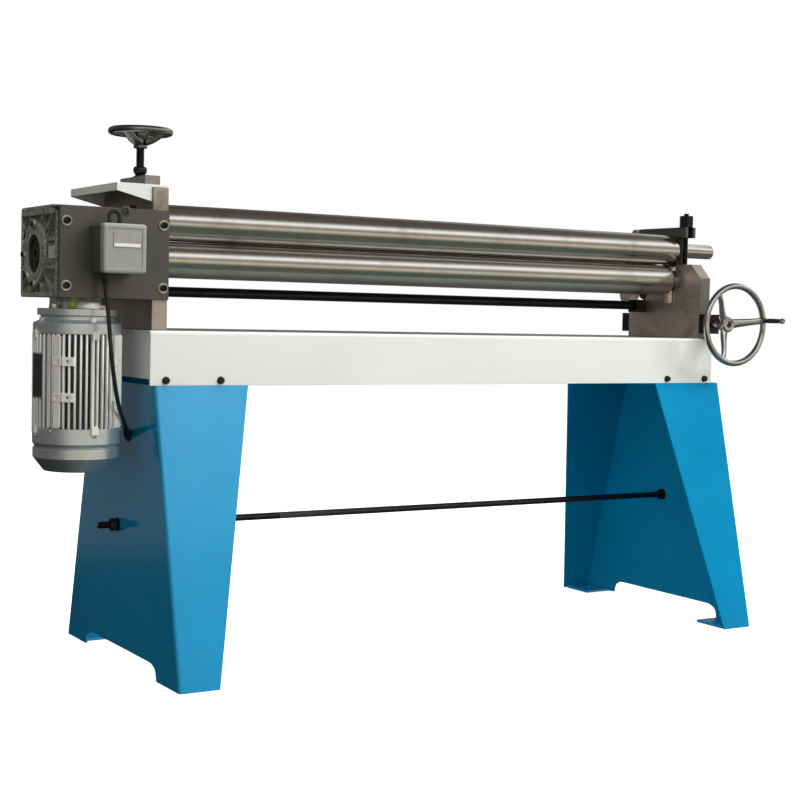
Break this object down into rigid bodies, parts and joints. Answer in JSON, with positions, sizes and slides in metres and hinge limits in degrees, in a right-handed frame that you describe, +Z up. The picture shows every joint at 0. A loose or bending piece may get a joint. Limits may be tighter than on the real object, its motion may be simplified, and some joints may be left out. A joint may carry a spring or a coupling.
{
  "type": "plate rolling machine",
  "caption": "Motor-driven three-roll slip roll on two blue folded stands: white channel bed, steel side frames, worm gearbox and vertical motor, handwheels for roll adjustment.",
  "frame": {"origin": "on the floor, in the middle of the four floor bolt holes of the two stands", "axes": "+X along the rolls from the motor to the open end, -Y towards the operator at the front, +Z up"},
  "size_m": [1.6915, 0.6223, 1.046],
  "materials": {
    "stand_paint": "smooth blue gloss paint",
    "bed_paint": "white paint with a fine gloss",
    "dark_steel": "blackened steel",
    "frame_steel": "ground plate with a brownish oil film",
    "roll_steel": "turned and polished steel",
    "bearing_iron": "machined cast iron",
    "plain_steel": "machined steel",
    "cover_paint": "dark grey paint",
    "gearbox_casting": "die-cast aluminium, oily grey",
    "motor_casting": "silver-grey casting",
    "motor_dark": "dark grey paint",
    "switch_case": "light grey moulded case",
    "black_plastic": "black moulded plastic",
    "cable_rubber": "black rubber sheath",
    "wheel_chrome": "polished handwheel",
    "grip_plastic": "black moulded grip"
  },
  "bodies": {
    "base": {"left_stand": "stand_paint", "right_stand": "stand_paint", "foot_plates": "dark_steel", "tie_rod": "dark_steel", "tie_rod_nuts": "dark_steel", "bed": "bed_paint", "left_frame": "frame_steel", "right_frame": "frame_steel", "upper_bearings": "bearing_iron", "lower_bearings": "bearing_iron", "lower_roll_screws": "plain_steel", "gear_case": "cover_paint", "gear_cover_front": "cover_paint", "gear_cover_top": "cover_paint", "worm_gearbox": "gearbox_casting", "motor_flange": "motor_dark", "motor_top_bell": "motor_casting", "motor_body": "motor_casting", "motor_low_bell": "motor_casting", "motor_fan_cowl": "motor_dark", "switch_box": "switch_case", "cable_glands": "black_plastic", "switch_cable": "cable_rubber", "top_bracket": "bed_paint", "screw_block": "plain_steel", "jack_collar": "plain_steel", "cap_bar": "plain_steel", "cap_pins": "plain_steel", "cross_shaft_bearings": "dark_steel", "wheel_shaft_bearings": "dark_steel"},
    "upper_roll": {"upper_roll": "roll_steel", "upper_roll_journals": "roll_steel"},
    "lower_roll": {"lower_roll": "roll_steel"},
    "bending_carriage": {"bending_bearings": "bearing_iron", "lift_rods": "plain_steel"},
    "bending_roll": {"bending_roll": "roll_steel"},
    "front_wheel": {"wheel_shaft": "plain_steel", "front_handwheel": "wheel_chrome"},
    "crank_grip": {"crank_grip": "grip_plastic"},
    "cross_shaft": {"cross_shaft": "dark_steel"},
    "jack_pad": {"jack_pad": "plain_steel"},
    "jack_screw": {"jack_screw": "dark_steel", "top_handwheel": "wheel_chrome"},
    "swing_bolt": {"swing_bolt": "dark_steel"},
    "swing_nut": {"swing_nut": "dark_steel"}
  },
  "joints": [
    {"name": "upper_roll_spin", "type": "hinge", "parent": "base", "child": "upper_roll", "pos_m": [0, -0.05, 0.8675], "axis": [1, 0, 0], "continuous": true},
    {"name": "lower_roll_spin", "type": "hinge", "parent": "base", "child": "lower_roll", "pos_m": [0, -0.05, 0.796], "axis": [1, 0, 0], "continuous": true},
    {"name": "front_wheel_turn", "type": "hinge", "parent": "base", "child": "front_wheel", "pos_m": [0.6675, -0.224, 0.694], "axis": [0, -1, 0], "range_deg": [-1296, 1296]},
    {"name": "cross_shaft_turn", "type": "hinge", "parent": "base", "child": "cross_shaft", "pos_m": [0, 0.05, 0.735], "axis": [1, 0, 0], "range_deg": [-1296, 1296]},
    {"name": "bending_carriage_lift", "type": "slide", "parent": "base", "child": "bending_carriage", "axis": [0, -0.5934, 0.8049], "range_m": [-0.0181, 0.0181]},
    {"name": "bending_roll_spin", "type": "hinge", "parent": "bending_carriage", "child": "bending_roll", "pos_m": [0, 0.034, 0.8], "axis": [1, 0, 0], "continuous": true},
    {"name": "crank_grip_spin", "type": "hinge", "parent": "front_wheel", "child": "crank_grip", "pos_m": [0.75385, -0.2673, 0.7046], "axis": [0, -1, 0], "continuous": true},
    {"name": "jack_pad_travel", "type": "slide", "parent": "base", "child": "jack_pad", "axis": [0, 0, 1], "range_m": [0, 0.0081]},
    {"name": "jack_screw_turn", "type": "hinge", "parent": "jack_pad", "child": "jack_screw", "pos_m": [-0.7015, -0.05, 1], "axis": [0, 0, 1], "range_deg": [0, 1440]},
    {"name": "swing_bolt_swing", "type": "hinge", "parent": "base", "child": "swing_bolt", "pos_m": [0.6675, -0.083, 0.815], "axis": [1, 0, 0], "range_deg": [0, 40]},
    {"name": "swing_nut_back_off", "type": "slide", "parent": "swing_bolt", "child": "swing_nut", "axis": [0, 0, 1], "range_m": [0, 0.0121]}
  ],
  "couplings": [
    {"joint": "lower_roll_spin", "follows": "upper_roll_spin", "ratio": -1},
    {"joint": "cross_shaft_turn", "follows": "front_wheel_turn", "ratio": 1},
    {"joint": "bending_carriage_lift", "follows": "front_wheel_turn", "m_per_rad": 0.00079577},
    {"joint": "jack_pad_travel", "follows": "jack_screw_turn", "m_per_rad": 0.00031831},
    {"joint": "swing_nut_back_off", "follows": "swing_bolt_swing", "m_per_rad": 0.017189}
  ]
}
